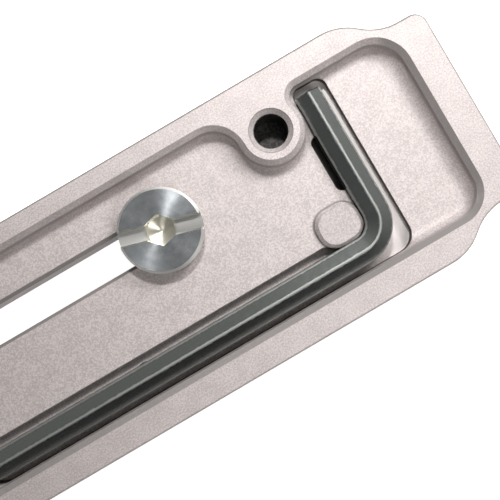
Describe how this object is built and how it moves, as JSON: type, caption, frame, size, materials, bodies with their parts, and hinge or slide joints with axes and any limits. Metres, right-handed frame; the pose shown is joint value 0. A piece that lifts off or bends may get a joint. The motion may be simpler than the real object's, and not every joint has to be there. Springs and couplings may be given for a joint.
{
  "type": "camera side plate",
  "caption": "Milled dovetail plate for a camera, with a captive camera screw in a long slot, a threaded ear and a hex key lying in a groove of its recess",
  "frame": {"origin": "middle of the clamp face, the plane of the recess's rim, where the dovetail's lip is widest", "axes": "+X along the plate towards the end with the threaded ear, +Y across it towards the slot, +Z out of the clamp face, away from the camera"},
  "size_m": [0.098, 0.038, 0.0145],
  "materials": {
    "plate": "bead-blasted and anodised, pale champagne silver",
    "screw": "turned, bright",
    "washer": "matte black nylon",
    "key": "black oxide, satin, bright along the edges",
    "magnet": "nickel plated"
  },
  "bodies": {
    "plate": {"plate": "plate", "hex_key": "key", "long_arm_magnet": "magnet", "short_arm_magnet": "magnet"},
    "washer": {"slide_washer": "washer"},
    "screw": {"camera_screw": "screw"}
  },
  "joints": [
    {"name": "screw_slide", "type": "slide", "parent": "plate", "child": "washer", "axis": [-1, 0, 0], "range_m": [0, 0.034]},
    {"name": "screw_turn", "type": "hinge", "parent": "washer", "child": "screw", "pos_m": [0.00075, 0.0064, -0.002], "axis": [0, 0, 1], "continuous": true}
  ]
}
